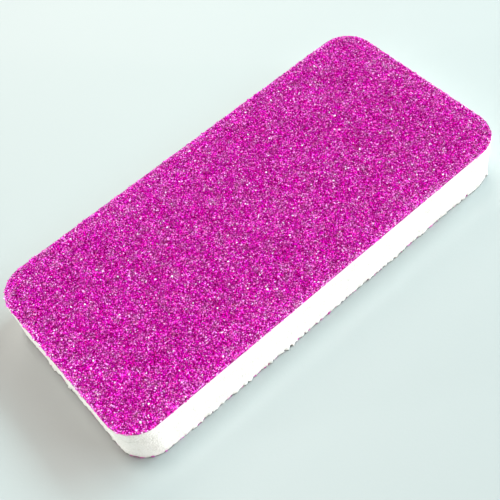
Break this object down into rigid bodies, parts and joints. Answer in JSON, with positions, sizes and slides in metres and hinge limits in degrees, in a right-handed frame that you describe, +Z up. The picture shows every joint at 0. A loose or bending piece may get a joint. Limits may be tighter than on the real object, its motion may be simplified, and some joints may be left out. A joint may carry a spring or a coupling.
{
  "type": "nail buffer block",
  "caption": "Rounded rectangular hand block for nails: white foam core with coarse magenta abrasive sheets bonded to its top and underside.",
  "frame": {"origin": "centre of the underside, where the lower abrasive face rests", "axes": "+X along the block's length, +Y across its width, +Z up through its thickness, out of the upper abrasive face"},
  "size_m": [0.095, 0.045, 0.0112],
  "materials": {
    "foam": "matte",
    "adhesive": "satin",
    "backing_paper": "matte",
    "make_resin": "satin",
    "size_resin": "gloss",
    "abrasive_grains": "gloss"
  },
  "bodies": {
    "root": {"foam_core": "foam", "top_adhesive_film": "adhesive", "top_backing_paper": "backing_paper", "top_make_coat": "make_resin", "top_size_coat": "size_resin", "top_abrasive_grit": "abrasive_grains", "bottom_adhesive_film": "adhesive", "bottom_backing_paper": "backing_paper", "bottom_make_coat": "make_resin", "bottom_size_coat": "size_resin", "bottom_abrasive_grit": "abrasive_grains"}
  },
  "joints": []
}
